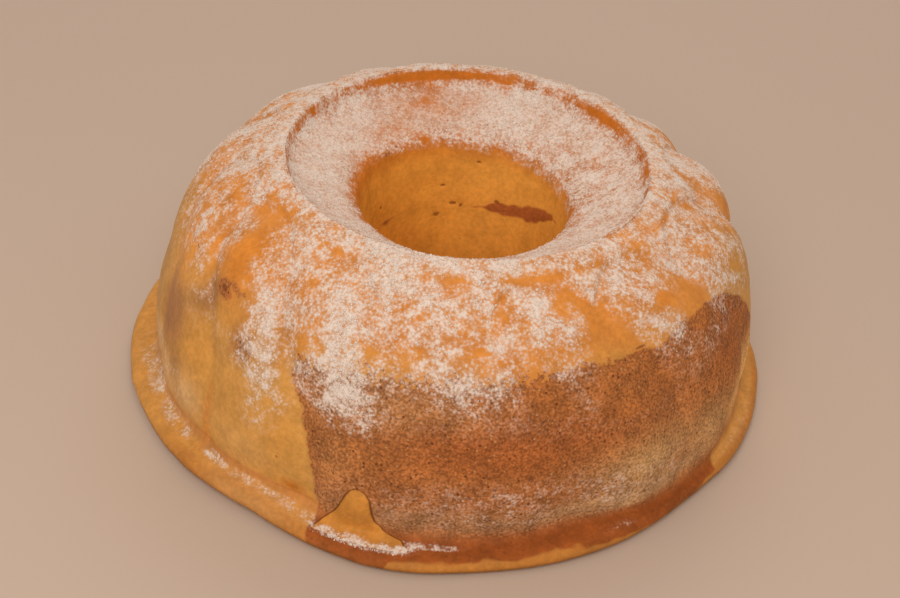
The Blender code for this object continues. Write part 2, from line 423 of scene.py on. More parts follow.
YELLOW = seen(0.565, 0.245, 0.052)
GOLD_STRIP = seen(0.590, 0.242, 0.045)
ORANGE = seen(0.62, 0.208, 0.036)
LEFT_ORANGE = seen(0.73, 0.265, 0.050)
LEG_ORANGE = seen(0.63, 0.195, 0.024)
BARE_ORANGE = seen(0.52, 0.150, 0.018)
PALE_TAN = seen(0.66, 0.36, 0.150)
DEEP_ORANGE = seen(0.49, 0.130, 0.012)
HOLE_GOLD = seen(0.67, 0.285, 0.046)
HOLE_AMBER = seen(0.66, 0.262, 0.036)
LIP_GOLD = seen(0.560, 0.232, 0.049)
LIP_PALE = seen(0.540, 0.240, 0.072)
# Painted shade on the lip: its outer edge and underside darker on the front half, and a dark contact line along its
# bottom edge all round.
LIP_UNDER_SHADE = seen(0.450, 0.155, 0.027)
LIP_CONTACT_SHADE = seen(0.26, 0.085, 0.016)
FOOT_BROWN = seen(0.50, 0.185, 0.045)
# Greyer, duller browns that stand for shade: painted shade in the creases between flutes, and a flute's painted shadow
# down the left flank.
CREASE_SHADE_BROWN = seen(0.330, 0.132, 0.044)
LEFT_FLUTE_SHADE = seen(0.385, 0.148, 0.047)
DULL_CREASE_SHADE = seen(0.435, 0.148, 0.032)
COCOA = seen(0.350, 0.106, 0.026)
COCOA_RED = seen(0.312, 0.080, 0.017)
COCOA_PALE = seen(0.380, 0.145, 0.044)
COCOA_TAN = seen(0.485, 0.240, 0.088)
COCOA_STREAK = seen(0.345, 0.090, 0.020)
COCOA_DUSTY = seen(0.490, 0.245, 0.102)
COCOA_GREY = seen(0.345, 0.150, 0.060)
COCOA_DARK = seen(0.37, 0.115, 0.031)
COCOA_ORANGE = seen(0.76, 0.355, 0.105)
COCOA_LIP = seen(0.268, 0.058, 0.009)
FLAKE_ORANGE = seen(0.53, 0.195, 0.032)
FLAKE_SHADOW = seen(0.16, 0.045, 0.010)

# Angle, half width, run, half height, edge, strength, tone.
# The grey-brown patches along the creases between flutes, and the broad brown patch down the left flank at 202
# degrees, are painted shade, not tones of the batter.
VANILLA_PATCHES = (
    (215.5, 5.5, 74.0, 17.0, 3.0, 0.9, GOLD_STRIP),
    (219.0, 5.0, 30.0, 15.0, 3.0, 0.9, LEG_ORANGE),
    (211.0, 3.0, 60.0, 6.0, 2.0, 0.55, CREASE_SHADE_BROWN),
    (207.0, 3.0, 67.0, 6.0, 2.0, 0.5, CREASE_SHADE_BROWN),
    (236.0, 10.0, 119.0, 7.0, 3.0, 0.7, LIP_PALE),
    (214.5, 3.6, 52.5, 9.0, 3.0, 0.95, CREASE_SHADE_BROWN),
    (202.0, 8.6, 76.0, 16.0, 6.0, 0.95, LEFT_FLUTE_SHADE),
    (210.5, 2.6, 92.0, 8.0, 3.0, 0.6, CREASE_SHADE_BROWN),
    (228.0, 3.2, 59.0, 7.5, 3.0, 0.75, DULL_CREASE_SHADE),
    (216.0, 4.0, 98.0, 9.0, 2.0, 0.7, PALE_TAN),
    (222.3, 0.9, 97.0, 17.0, 4.0, 0.75, ORANGE),
    (232.0, 8.0, 100.0, 10.0, 3.0, 0.18, PALE_TAN),
    (235.8, 2.0, 51.0, 10.0, 2.0, 0.55, CREASE_SHADE_BROWN),
    (240.5, 3.0, 82.0, 16.0, 3.0, 0.7, GOLD_STRIP),
    (243.6, 2.2, 105.5, 2.4, 2.0, 0.8, DEEP_ORANGE),
    (199.0, 9.0, 50.0, 12.0, 2.0, 0.8, LEFT_ORANGE),
    (200.0, 12.0, 102.0, 10.0, 3.0, 0.6, PALE_TAN),
    (186.0, 8.0, 80.0, 22.0, 3.0, 0.6, COCOA_TAN),
    (112.0, 7.0, 70.0, 15.0, 3.0, 0.7, DULL_CREASE_SHADE),
    (2.0, 5.0, 62.0, 16.0, 3.0, 0.6, CREASE_SHADE_BROWN),
    (110.0, 16.0, 92.0, 16.0, 3.0, 0.6, PALE_TAN),
    (5.0, 10.0, 80.0, 24.0, 3.0, 0.6, PALE_TAN),
    (175.0, 7.0, 92.0, 14.0, 3.0, 0.6, PALE_TAN),
)
COCOA_TONES = (
    (263.0, 12.0, 60.0, 12.0, 2.0, 0.8, COCOA_PALE),
    (247.0, 5.0, 58.0, 14.0, 2.0, 0.5, COCOA_PALE),
    (251.0, 5.0, 88.0, 13.0, 2.0, 0.20, COCOA_TAN),
    (283.0, 22.0, 74.0, 11.0, 3.0, 0.9, COCOA_RED),
    (309.0, 11.0, 91.0, 11.0, 2.0, 0.9, COCOA_TAN),
    (327.0, 7.0, 95.0, 12.0, 2.0, 0.75, COCOA_TAN),
    (268.0, 24.0, 105.0, 7.0, 3.0, 0.8, COCOA_GREY),
    (308.0, 20.0, 105.5, 6.0, 3.0, 0.95, COCOA_DUSTY),
    (219.0, 6.0, 44.0, 7.0, 4.0, 0.9, COCOA_DARK),
    (229.0, 5.0, 59.5, 8.0, 4.0, 0.9, COCOA_PALE),
    (336.0, 9.0, 58.0, 18.0, 2.0, 0.38, COCOA_LIP),
    (348.0, 14.0, 98.0, 14.0, 3.0, 1.0, COCOA_ORANGE),
    (290.0, 60.0, 118.5, 8.0, 6.0, 0.9, COCOA_LIP),
    (50.0, 20.0, 66.0, 12.0, 2.0, 0.7, COCOA_RED),
    (72.0, 12.0, 92.0, 12.0, 2.0, 0.7, COCOA_TAN),
    (58.0, 60.0, 117.0, 6.5, 6.0, 0.9, COCOA_LIP),
    (142.0, 14.0, 84.0, 14.0, 2.0, 0.7, COCOA_TAN),
    (48.0, 60.0, -60.0, 14.0, 6.0, 0.9, COCOA_STREAK),
)


def painted(colour, theta, run, patches):
    """Colours with soft patches of other tones laid over them."""
    for angle, wide, middle, tall, edge, strength, tone in patches:
        share = strength * near(theta, run, angle, wide, middle, tall, edge)[..., None]
        colour = colour * (1.0 - share) + tone * share
    return colour


def vanilla_colour(theta, run, place):
    """Tones of the vanilla crust: orange where it baked hottest, yellow lower down, amber in the hole, with painted
    shade in the creases between flutes, on the lip's underside and along its bottom edge.
    """
    low = smooth(30.0, 64.0, run + 5.0 * ripple(place, 26.0, 21))[..., None]
    colour = ORANGE * (1.0 - low) + YELLOW * low
    deep = 0.45 * smooth(0.2, 1.5, ripple(place, 6.0, 22)) * fade((28.0, 60.0), run)
    colour = colour * (1.0 - deep[..., None]) + BARE_ORANGE * deep[..., None]
    foot = smooth(106.0, 109.5, run)[..., None]
    colour = colour * (1.0 - foot) + FOOT_BROWN * foot
    lip = smooth(111.0, 114.0, run)[..., None]
    colour = colour * (1.0 - lip) + LIP_GOLD * lip
    # Painted shade: the lip's outer edge and underside darker, on the front half only.
    under = smooth(117.5, 120.5, run)[..., None] * smooth(0.1, 0.4, np.cos(np.radians(theta - 292.0)))[..., None]
    colour = colour * (1.0 - under) + LIP_UNDER_SHADE * under
    # Painted contact shade: a dark line along the lip's bottom edge, all round.
    edge = 0.75 * window(124.3, 131.0, 0.7, run)[..., None]
    colour = colour * (1.0 - edge) + LIP_CONTACT_SHADE * edge
    inner = fade((-3.0, 2.0), run)[..., None]
    colour = colour * (1.0 - inner) + DEEP_ORANGE * inner
    hole = fade((-48.0, -34.0), run)[..., None]
    amber = smooth(-0.2, 1.0, np.cos(np.radians(theta - 165.0)))[..., None]
    colour = colour * (1.0 - hole) + (HOLE_GOLD * (1.0 - amber) + HOLE_AMBER * amber) * hole
    return painted(colour, theta, run, VANILLA_PATCHES)


def cocoa_colour(theta, run):
    """Tones of the cocoa crust, with a painted contact shade along the lip's bottom edge."""
    colour = np.broadcast_to(COCOA, run.shape + (3,)).copy()
    colour = painted(colour, theta, run, COCOA_TONES)
    # Painted contact shade along the lip's bottom edge, as on the vanilla crust.
    edge = 0.75 * window(124.3, 131.0, 0.7, run)[..., None]
    return colour * (1.0 - edge) + LIP_CONTACT_SHADE * edge


# ---- Powdered sugar: the share of the crust it covers ----

SUGAR_BY_RUN = (
    (-45, 0.0), (-40.5, 0.0), (-37, 0.25), (-33.5, 0.78), (-28, 0.92), (-9, 0.90), (-6.6, 0.74), (-5.2, 0.05),
    (-2.6, 0.04), (-1.0, 0.70), (0, 0.92), (5, 0.83), (12, 0.60), (22, 0.50), (32, 0.36), (42, 0.24),
    (52, 0.14), (62, 0.06), (72, 0.02), (84, 0.0), (106, 0.0), (120, 0.0),
)
# Angle at the crest, share of the swirl it turns by, half width, first run, last run, strength.
SUGAR_STREAKS = (
    (185.5, 0.4, 4.0, 2.0, 20.0, 0.20), (226.4, 0.6, 3.6, 32.0, 74.0, 0.63),
    (236.0, 0.45, 3.0, 38.0, 62.0, 0.28), (245.2, 0.45, 4.4, 22.0, 70.0, 0.78), (254.5, 0.3, 5.0, -3.0, 15.0, 0.30),
    (265.0, 0.3, 4.6, 13.0, 24.0, 0.30), (264.0, 0.4, 3.0, 26.0, 36.0, 0.20), (267.0, 0.4, 4.4, 38.0, 54.0, 0.40),
    (276.0, 0.3, 3.0, 38.0, 50.0, 0.16), (287.5, 0.3, 3.8, 14.0, 34.0, 0.32), (310.5, 0.6, 4.4, 12.0, 26.0, 0.14),
    (311.5, 0.6, 3.4, 36.0, 46.0, 0.34), (335.0, 0.6, 4.4, 14.0, 46.0, 0.16), (345.0, 0.3, 5.5, 30.0, 50.0, 0.10),
    (197.0, 0.5, 7.0, 24.0, 50.0, 0.25),
)
# The same, for places the sugar missed.
SUGAR_GAPS = (
    (214.5, 0.6, 4.6, 6.5, 54.0, 0.50), (243.5, 0.4, 5.0, 7.5, 11.0, 0.36), (228.0, 0.4, 5.0, 10.0, 28.0, 0.22),
    (257.0, 0.6, 3.4, 20.0, 44.0, 0.14), (283.0, 0.5, 4.0, 16.0, 60.0, 0.18), (294.5, 0.2, 3.6, -4.0, 13.0, 0.50),
    (289.0, 0.2, 3.0, 5.0, 10.0, 0.40), (301.5, 0.4, 6.0, 10.0, 64.0, 0.52), (300.0, 0.2, 4.0, 11.0, 19.0, 0.30), (319.5, 0.4, 5.0, 3.0, 14.0, 0.24),
    (323.0, 0.4, 4.4, 10.0, 50.0, 0.28), (328.0, 0.6, 4.0, 18.0, 42.0, 0.32), (192.0, 0.4, 3.6, 8.0, 36.0, 0.30), (204.0, 0.4, 5.0, 12.0, 26.0, 0.18),
    (209.0, 0.4, 4.0, 8.0, 18.0, 0.24), (198.0, 0.4, 8.0, 26.0, 60.0, 0.08), (325.0, 0.0, 28.0, -3.0, 6.0, 0.26),
    (197.0, 0.0, 18.0, -3.0, 6.0, 0.14), (228.0, 0.0, 9.0, -3.0, 5.0, 0.14), (230.3, 0.55, 1.8, 38.0, 68.0, 0.30),
)
# Crease angles at the crest on the side away from the camera; each flute there has its streak and its gap.
BACK_CREASES = (357.5, 23.0, 43.5, 62.5, 83.6, 105.4, 126.6, 152.4)
# Patches in the funnel: angle, half width, run, half height, edge, added share.
FUNNEL_PATCHES = (
    (106.0, 14.0, -14.0, 11.0, 2.0, -0.62), (126.0, 13.0, -25.0, 6.0, 2.0, -0.44), (38.0, 8.0, -7.0, 3.0, 2.0, -0.36),
    (24.0, 16.0, -20.0, 10.0, 2.0, -0.13), (68.0, 18.0, -17.0, 15.0, 3.0, 0.18), (182.0, 40.0, -17.0, 14.0, 3.0, 0.14),
    (165.0, 16.0, -33.0, 3.5, 2.0, -0.20), (150.0, 15.0, -4.0, 3.0, 2.0, 0.45), (14.0, 14.0, -4.5, 2.0, 2.0, 0.30), (103.0, 10.0, -33.0, 4.0, 2.0, -0.30), (345.0, 16.0, -4.0, 4.0, 3.0, 0.50),
    (184.0, 12.0, -4.0, 4.0, 3.0, 0.45), (60.0, 9.0, -2.0, 3.0, 2.0, 0.25), (143.0, 6.0, -2.0, 3.0, 2.0, 0.3),
    (262.0, 70.0, -4.0, 4.0, 3.0, 0.15), (216.0, 24.0, 2.0, 6.0, 2.0, -0.10),
)
# Sugar that slid to the foot of the wall: angle, half width, run, half height, edge, added share.
FOOT_PATCHES = (
    (257.5, 7.5, 117.6, 1.4, 4.0, 1.4), (244.0, 5.0, 114.6, 2.2, 3.0, 0.30), (234.0, 5.0, 114.5, 2.2, 3.0, 0.26),
    (226.5, 3.0, 113.6, 2.0, 3.0, 0.52), (213.0, 5.0, 114.5, 3.0, 3.0, 0.38), (202.0, 6.0, 114.0, 3.2, 3.0, 0.34),
    (192.0, 5.0, 114.5, 3.4, 3.0, 0.38), (269.0, 5.0, 115.4, 1.1, 3.0, 0.50), (303.0, 3.0, 119.0, 1.4, 2.0, 0.12),
    (340.0, 10.0, 118.0, 3.0, 3.0, 0.07), (235.0, 3.4, 82.0, 5.0, 2.0, 0.22), (229.5, 2.6, 58.5, 6.0, 2.0, 0.34),
    (338.0, 9.0, 70.0, 12.0, 2.0, -0.07), (288.0, 36.0, 98.0, 12.0, 3.0, 0.10), (203.0, 13.0, 99.0, 9.0, 3.0, 0.11),
    (20.0, 14.0, 114.5, 2.6, 3.0, 0.34), (62.0, 10.0, 114.0, 2.2, 3.0, 0.40), (96.0, 14.0, 114.5, 2.6, 3.0, 0.30),
    (134.0, 12.0, 114.0, 2.4, 3.0, 0.38), (166.0, 10.0, 114.5, 2.6, 3.0, 0.34),
)


def swirling(theta, run, table, sign):
    """Sum of the streaks or gaps in a table, which turn with the flutes."""
    total = np.zeros_like(run)
    for angle, share, wide, first, last, strength in table:
        across = turn_from(theta - share * swirl(run), angle) / wide
        total += sign * strength * np.exp(-np.abs(across) ** 2.4) * window(first, last, 5.0, run)
    return total


def veil_field(theta, run):
    """How far the sugar lies as an even veil and not in clumps, which it does in the funnel."""
    return 0.15 + (0.45 - 0.28 * near(theta, 0.0, 12.0, 36.0, 0.0, 1.0)) * window(-32.0, -9.0, 4.0, run)


def sugar_share(theta, run, arch, place):
    """Share of the crust that sugar covers, from 0 to a little over 1, before its grain."""
    down = run + 2.8 * np.cos(np.radians(theta - 5.0)) * window(-48.0, -30.0, 4.0, run)
    share = edge_at(SUGAR_BY_RUN, down)
    share += swirling(theta, run, SUGAR_STREAKS, 1.0)
    share += swirling(theta, run, SUGAR_GAPS, -1.0)
    pick = np.random.default_rng(31)
    for crease in BACK_CREASES:
        lean, reach, strength = pick.uniform(11.0, 16.0), pick.uniform(38.0, 72.0), pick.uniform(0.3, 0.6)
        share += swirling(theta, run, ((crease + lean, 0.5, 4.4, 10.0, reach, strength),), 1.0)
        share += swirling(theta, run, ((crease + lean - 9.0, 0.5, 3.6, 12.0, reach + 8.0, 0.34),), -1.0)
    bare_band = window(0.2, 3.0, 1.3, arch) * fade((8.0, 16.0), run)
    share -= (0.34 + 0.14 * ripple(place, 14.0, 32)) * bare_band * smooth(1.0, 4.0, run)
    for angle, wide, middle, tall, edge, strength in FUNNEL_PATCHES + FOOT_PATCHES:
        share += strength * near(theta, run, angle, wide, middle, tall, edge)
    patchy = smooth(0.02, 0.35, share) * (1.15 - veil_field(theta, run))
    share += patchy * (0.12 * ripple(place, 9.0, 33) + 0.14 * ripple(place, 4.0, 34))
    share = np.where(share > 0.5, 0.5 + 0.75 * (share - 0.5), share)
    return np.clip(share, 0.0, 1.1)


# ---- The crust's mesh ----

theta, rr, zz, run, arch, counts = cake_grid()
plain = to_xyz(theta, rr, zz)
normals = grid_normals(plain)
cocoa = cocoa_field(theta, run, plain)
specks = speck_field(theta, run, rr)
sugar = sugar_share(theta, run, arch, plain)

relief = 0.24 * ripple(plain, 24.0, 1) + 0.09 * ripple(plain, 7.0, 2) - 0.35 * specks
relief += 0.30 * np.clip(sugar, 0.0, 1.0) * (0.6 + 0.4 * ripple(plain, 2.4, 3))
relief = MOST_RELIEF * np.tanh(relief / MOST_RELIEF) * smooth(0.0, 4.0, zz)
stand_back = 1.0 - STAND_BACK / np.array((LIP_RADIUS, LIP_RADIUS, HEIGHT))
surface = ((plain - (AXIS[0], AXIS[1], 0.0)) * stand_back + (AXIS[0], AXIS[1], 0.0) + normals * relief[..., None])
surface[..., 2] = np.maximum(surface[..., 2], 0.0)
box_low = np.array(CAD_LOW) / UNIT
box_high = np.array(CAD_HIGH) / UNIT
surface = np.clip(surface, box_low, box_high)
normals = grid_normals(surface)

FIELDS = {
    "cocoa_depth": cocoa, "flecked": softness_field(theta, run), "speck": specks, "sugar": sugar,
    "veil": veil_field(theta, run), "run": run,
}
# The vanilla and cocoa colours carry painted shade in the creases and on the lip as well as the batters' own tones.
COLOURS = {"vanilla": vanilla_colour(theta, run, plain), "cocoa": cocoa_colour(theta, run)}


def new_object(name, vertices, faces):
    """Object in the scene with a smooth-shaded mesh, from places in millimetres."""
    mesh = bpy.data.meshes.new(name)
    mesh.from_pydata((vertices * UNIT).tolist(), [], faces.tolist())
    mesh.update()
    mesh.shade_smooth()
    obj = bpy.data.objects.new(name, mesh)
    bpy.context.scene.collection.objects.link(obj)
    return obj


def crust_piece(name, rows):
    """Band of the crust between stations, closed round, with its fields and its exact normals."""
    columns = surface.shape[1]
    i, j = np.meshgrid(np.arange(len(rows) - 1), np.arange(columns), indexing="ij")
    right = (j + 1) % columns
    quads = np.stack([i * columns + j, (i + 1) * columns + j, (i + 1) * columns + right, i * columns + right], -1)
    obj = new_object(name, surface[rows].reshape(-1, 3), quads.reshape(-1, 4))
    mesh = obj.data
    for field, values in FIELDS.items():
        attribute = mesh.attributes.new(field, "FLOAT", "POINT")
        attribute.data.foreach_set("value", values[rows].astype(np.float32).ravel())
    for field, values in COLOURS.items():
        opaque = np.concatenate([values[rows], np.ones(values[rows].shape[:2] + (1,))], axis=-1)
        attribute = mesh.attributes.new(field, "FLOAT_COLOR", "POINT")
        attribute.data.foreach_set("color", opaque.astype(np.float32).ravel())
    mesh.normals_split_custom_set_from_vertices(normals[rows].reshape(-1, 3).tolist())
    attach(obj, "root")
    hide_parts("cake")
    return obj


wall_rows = np.arange(0, sum(counts[:3]) + 1)
inside_rows = np.append(np.arange(sum(counts[:3]), sum(counts)), 0)
crust_wall = crust_piece("crust_wall", wall_rows)
crust_inside = crust_piece("crust_inside", inside_rows)


# ---- The flake of batter that stands up from the front of the foot ----

FLAKE_TOP, FLAKE_FOOT = 94.8, 118.4
FLAKE_LEFT = ((94.8, 256.0), (96, 255.1), (98, 254.5), (104, 253.4), (110, 252), (113, 250.4), (118.4, 249.4))
FLAKE_RIGHT = ((94.8, 256.8), (95.6, 257.7), (98, 258.5), (104, 259), (108, 259.7), (111.7, 261.2), (114.3, 264.4),
               (118.4, 265.6))
FLAKE_HEIGHT = 1.5
FLAKE_SKIRT = 0.45
FLAKE_ROWS, FLAKE_COLUMNS = 44, 36


def on_surface(angle, down):
    """Places and normals on the crust at angles and runs on the lower wall and the lip."""
    rows = sum(counts[:2])
    dense = np.arange(0.0, FLUTES, 0.05)
    column = np.interp(angle - swirl(down), flute_angle(dense), dense) * COLUMNS_PER_FLUTE
    row = np.interp(down, run[:rows, 0], np.arange(rows))
    i, j = np.floor(row).astype(int), np.floor(column).astype(int)
    v, u = (row - i)[..., None], (column - j)[..., None]
    i2, j, j2 = i + 1, j % surface.shape[1], (j + 1) % surface.shape[1]

    def read(grid):
        return (grid[i, j] * (1 - u) + grid[i, j2] * u) * (1 - v) + (grid[i2, j] * (1 - u) + grid[i2, j2] * u) * v

    return read(surface), read(normals)


def flake_piece():
    """Tongue of vanilla batter, a little proud of the cocoa, with a painted shadow line at its sides."""
    down = np.linspace(FLAKE_TOP, FLAKE_FOOT, FLAKE_ROWS)[:, None]
    across = 0.5 - 0.5 * np.cos(np.linspace(0.0, math.pi, FLAKE_COLUMNS))[None, :]
    left, right = edge_at(FLAKE_LEFT, down), edge_at(FLAKE_RIGHT, down)
    angle = left + (right - left) * across
    out = (1.0 - np.abs(2.0 * across - 1.0) ** 5) ** 0.5
    lift = FLAKE_HEIGHT * out * smooth(FLAKE_TOP - 0.6, 98.0, down) * fade((109.0, 117.5), down) + 0.10
    angle = np.concatenate([left - FLAKE_SKIRT, angle, right + FLAKE_SKIRT], axis=1)
    lift = np.pad(lift, ((0, 0), (1, 1)), constant_values=-0.05)
    down = np.broadcast_to(down, angle.shape)
    place, normal = on_surface(angle, down)
    place = place + normal * (lift + 0.12 * ripple(place, 5.0, 61) * (lift > 0.3))[..., None]
    rows, columns = angle.shape
    i, j = np.meshgrid(np.arange(rows - 1), np.arange(columns - 1), indexing="ij")
    quads = np.stack([i * columns + j, (i + 1) * columns + j, (i + 1) * columns + j + 1, i * columns + j + 1], -1)
    obj = new_object("batter_flake", place.reshape(-1, 3), quads.reshape(-1, 4))
    # Painted shadow: the skirt and the flake's outermost columns take the dark shadow tone, a line where the flake
    # meets the wall.
    shade = np.concatenate([[1.0, 0.85], np.zeros(columns - 4), [0.9, 1.0]])[None, :, None]
    tone = np.broadcast_to(FLAKE_ORANGE * (1.0 - shade) + FLAKE_SHADOW * shade, (rows, columns, 3))
    dusted = 0.85 * smooth(115.2, 117.4, down + 0.5 * ripple(place, 3.0, 62))
    fields = {"cocoa_depth": np.full(angle.shape, -30.0), "sugar": dusted, "run": down}
    for field, values in fields.items():
        obj.data.attributes.new(field, "FLOAT", "POINT").data.foreach_set("value", values.astype(np.float32).ravel())
    opaque = np.concatenate([tone, np.ones((rows, columns, 1))], axis=-1)
    obj.data.attributes.new("vanilla", "FLOAT_COLOR", "POINT").data.foreach_set("color", opaque.astype(np.float32).ravel())
    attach(obj, "root")
    return obj


batter_flake = flake_piece()


# ---- Materials ----

SUGAR_THIN = (0.775, 0.730, 0.715, 1.0)
SUGAR_WHITE = (0.885, 0.865, 0.870, 1.0)
PALE_GRAIN = (0.62, 0.38, 0.20, 1.0)
PORE_BROWN = (0.13, 0.035, 0.010, 1.0)
SPECK_BROWN = (0.20, 0.060, 0.020, 1.0)


def node(tree, kind, **sockets):
    """Node with some of its inputs set."""
    made = tree.nodes.new("ShaderNode" + kind)
    for name, value in sockets.items():
        plug(tree, value, made.inputs[name])
    return made


def plug(tree, value, socket):
    """Put a number, a colour or another node's output into an input."""
    if isinstance(value, bpy.types.NodeSocket):
        tree.links.new(value, socket)
    else:
        socket.default_value = value


def noise(tree, size, detail=2.0, roughness=0.5):
    """Noise over the object with blotches of about a size in millimetres, around a half."""
    place = node(tree, "TexCoord").outputs["Object"]
    made = node(tree, "TexNoise", Vector=place, Detail=detail, Roughness=roughness, Scale=0.7 / (size * UNIT))
    return made.outputs["Fac"]


def calc(tree, operation, first, second=0.0, third=0.0):
    """Result of a sum on numbers or outputs."""
    made = tree.nodes.new("ShaderNodeMath")
    made.operation = operation
    for value, socket in zip((first, second, third), made.inputs):
        plug(tree, value, socket)
    return made.outputs[0]


def spread(tree, value, low, high, start=0.0, end=1.0):
    """Smooth step of a value from one range to another."""
    made = tree.nodes.new("ShaderNodeMapRange")
    made.interpolation_type = "SMOOTHSTEP"
    plug(tree, value, made.inputs["Value"])
    for name, number in (("From Min", low), ("From Max", high), ("To Min", start), ("To Max", end)):
        plug(tree, number, made.inputs[name])
    return made.outputs["Result"]


def blend(tree, share, first, second, kind="MIX"):
    """Two colours mixed."""
    made = tree.nodes.new("ShaderNodeMix")
    made.data_type = "RGBA"
    made.blend_type = kind
    plug(tree, share, made.inputs[0])
    plug(tree, first, made.inputs[6])
    plug(tree, second, made.inputs[7])
    return made.outputs[2]


def attribute(tree, name, output="Fac"):
    """A field stored on the mesh."""
    made = tree.nodes.new("ShaderNodeAttribute")
    made.attribute_name = name
    return made.outputs[output]


def brighten(tree, colour, amount):
    """Colour made lighter or darker by a factor that varies over the surface."""
    grey = tree.nodes.new("ShaderNodeCombineColor")
    for socket in grey.inputs:
        plug(tree, amount, socket)
    return blend(tree, 1.0, colour, grey.outputs[0], "MULTIPLY")


def cells(tree, size):
    """Distance to the nearest of many scattered points, and a random number for each."""
    place = node(tree, "TexCoord").outputs["Object"]
    made = node(tree, "TexVoronoi", Vector=place, Scale=1.0 / (size * UNIT))
    tone = tree.nodes.new("ShaderNodeSeparateColor")
    plug(tree, made.outputs["Color"], tone.inputs[0])
    return made.outputs["Distance"], tone.outputs[0]


def crust_material():
    """Baked crust: two batters with a sharp border, grain and pores, and a film of sugar."""
    material = bpy.data.materials.new("baked_crust")
    material.use_nodes = True
    tree = material.node_tree
    shader = tree.nodes["Principled BSDF"]
    fine = noise(tree, 0.7, 1.0, 0.5)
    small = noise(tree, 1.3, 2.0, 0.6)
    middling = noise(tree, 6.0, 3.0)
    wide = noise(tree, 22.0, 2.0)

    # Vanilla: mottled at two sizes.
    vanilla = brighten(tree, attribute(tree, "vanilla", "Color"), spread(tree, middling, 0.25, 0.75, 0.88, 1.12))
    vanilla = brighten(tree, vanilla, spread(tree, small, 0.25, 0.75, 0.90, 1.10))
    # Cocoa: grainier, with pale crumbs and dark pores.
    on_wall = spread(tree, attribute(tree, "run"), 109.0, 114.0, 1.0, 0.15)
    on_wall = calc(tree, "MULTIPLY", on_wall, spread(tree, attribute(tree, "run"), -30.0, 0.0, 0.2, 1.0))
    grainy = brighten(tree, attribute(tree, "cocoa", "Color"), spread(tree, fine, 0.28, 0.72, 0.68, 1.32))
    cocoa = blend(tree, on_wall, attribute(tree, "cocoa", "Color"), grainy)
    cocoa = brighten(tree, cocoa, spread(tree, middling, 0.25, 0.75, 0.80, 1.20))
    cocoa = brighten(tree, cocoa, spread(tree, small, 0.25, 0.75, 0.90, 1.10))
    distance, tone = cells(tree, 1.5)
    reach = spread(tree, tone, 0.55, 1.0, 0.0, 0.30)
    crumb = spread(tree, calc(tree, "SUBTRACT", reach, distance), -0.06, 0.06)
    cocoa = blend(tree, calc(tree, "MULTIPLY", calc(tree, "MULTIPLY", crumb, on_wall), 0.65), cocoa, PALE_GRAIN)
    distance, tone = cells(tree, 2.1)
    reach = spread(tree, tone, 0.35, 1.0, 0.0, 0.24)
    pore = spread(tree, calc(tree, "SUBTRACT", reach, distance), -0.05, 0.04)
    cocoa = blend(tree, calc(tree, "MULTIPLY", calc(tree, "MULTIPLY", pore, on_wall), 0.75), cocoa, PORE_BROWN)
    # Border between them.
    depth = attribute(tree, "cocoa_depth")
    waver = spread(tree, on_wall, 0.15, 1.0, 0.8, 4.0)
    reach = calc(tree, "MULTIPLY_ADD", attribute(tree, "flecked"), 22.0, waver)
    waver = calc(tree, "MULTIPLY_ADD", calc(tree, "SUBTRACT", small, 0.5), reach, depth)
    is_cocoa = spread(tree, waver, -0.8, 0.8)
    crust = blend(tree, is_cocoa, vanilla, cocoa)
    speck = spread(tree, calc(tree, "MULTIPLY_ADD", calc(tree, "SUBTRACT", fine, 0.5), 0.8, attribute(tree, "speck")), 0.3, 0.6)
    crust = blend(tree, calc(tree, "MULTIPLY", speck, 0.68), crust, SPECK_BROWN)
    # Sugar.
    distance = cells(tree, 1.15)[0]
    grain = calc(tree, "MULTIPLY_ADD", distance, -0.24, 0.15)
    grain = calc(tree, "MULTIPLY_ADD", fine, 0.20, grain)
    grain = calc(tree, "MULTIPLY_ADD", small, 0.38, grain)
    veil = attribute(tree, "veil")
    broad = calc(tree, "MULTIPLY_ADD", veil, -0.45, 0.43)
    grain = calc(tree, "MULTIPLY_ADD", calc(tree, "SUBTRACT", noise(tree, 3.0, 2.0), 0.5), broad, grain)
    grain = calc(tree, "ADD", grain, 0.18)
    sugar = attribute(tree, "sugar")
    share = calc(tree, "MULTIPLY_ADD", calc(tree, "SUBTRACT", sugar, 0.5), 0.18, grain)
    clumped = calc(tree, "MULTIPLY", spread(tree, share, 0.367, 0.640), spread(tree, sugar, 0.0, 0.16))
    even = calc(tree, "MULTIPLY", sugar, 0.96)
    is_sugar = calc(tree, "MULTIPLY_ADD", veil, calc(tree, "SUBTRACT", even, clumped), clumped)
    pitted = calc(tree, "MULTIPLY", crumb, spread(tree, veil, 0.15, 0.55, 0.0, 0.45))
    is_sugar = calc(tree, "MINIMUM", calc(tree, "SUBTRACT", is_sugar, pitted), 1.0)
    is_sugar = calc(tree, "MAXIMUM", is_sugar, 0.0)
    powder = blend(tree, spread(tree, share, 0.46, 0.69), SUGAR_THIN, SUGAR_WHITE)
    colour = blend(tree, is_sugar, crust, powder)
    plug(tree, colour, shader.inputs["Base Color"])
    # Finish.
    dull = calc(tree, "MULTIPLY_ADD", is_cocoa, 0.16, spread(tree, middling, 0.3, 0.7, 0.52, 0.66))
    dull = calc(tree, "MAXIMUM", dull, calc(tree, "MULTIPLY", is_sugar, 0.95))
    plug(tree, dull, shader.inputs["Roughness"])
    shader.inputs["Specular IOR Level"].default_value = 0.2
    rise = calc(tree, "MULTIPLY", is_sugar, 0.16)
    rise = calc(tree, "MULTIPLY_ADD", fine, 0.16, rise)
    rise = calc(tree, "MULTIPLY_ADD", small, 0.12, rise)
    rise = calc(tree, "MULTIPLY_ADD", pore, calc(tree, "MULTIPLY", is_cocoa, -0.20), rise)
    bump = node(tree, "Bump", Height=rise, Distance=UNIT, Strength=0.8)
    plug(tree, bump.outputs["Normal"], shader.inputs["Normal"])
    return material


